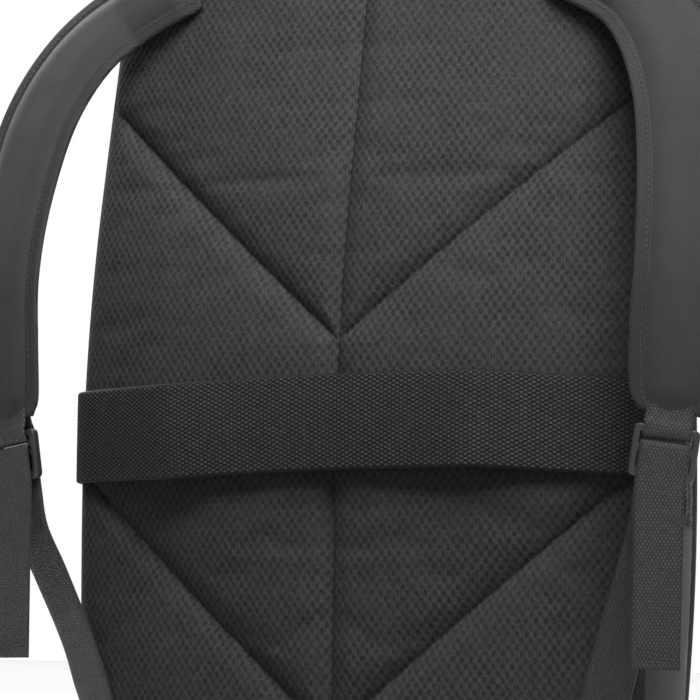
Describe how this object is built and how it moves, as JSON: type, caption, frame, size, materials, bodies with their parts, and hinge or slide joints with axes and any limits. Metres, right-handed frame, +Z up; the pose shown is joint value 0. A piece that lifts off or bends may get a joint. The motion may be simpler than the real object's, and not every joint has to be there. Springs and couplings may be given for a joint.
{
  "type": "laptop backpack",
  "caption": "Laptop backpack with a quilted mesh back panel, a wide luggage strap across it, padded shoulder straps with adjusters, a grab handle and a zipped hollow compartment.",
  "frame": {"origin": "centre of the object's box on the floor it stands on", "axes": "+Z up along the bag's height; -Y is the worn side with the quilted back panel; +X is to the right seen from the worn side"},
  "size_m": [0.4474, 0.1834, 0.5255],
  "materials": {
    "air_mesh": "open knitted mesh over foam, matt",
    "shell_cloth": "plain woven polyester, matt",
    "webbing": "woven polyester webbing, slight sheen",
    "zip_tape": "woven tape with nylon coil",
    "zip_metal": "dark plated, satin",
    "moulded_plastic": "moulded acetal, fine texture"
  },
  "bodies": {
    "root": {"back_panel": "air_mesh", "shoulder_strap_left": "air_mesh", "shoulder_strap_right": "air_mesh", "front_panel": "shell_cloth", "gusset_rear": "shell_cloth", "gusset_front": "shell_cloth", "base_gusset": "shell_cloth", "luggage_strap": "webbing", "grab_handle": "webbing", "strap_webbing_left": "webbing", "strap_webbing_right": "webbing", "main_zip": "zip_tape", "zip_slider_left": "zip_metal", "zip_slider_right": "zip_metal", "strap_adjuster_left": "moulded_plastic", "strap_adjuster_right": "moulded_plastic"}
  },
  "joints": []
}
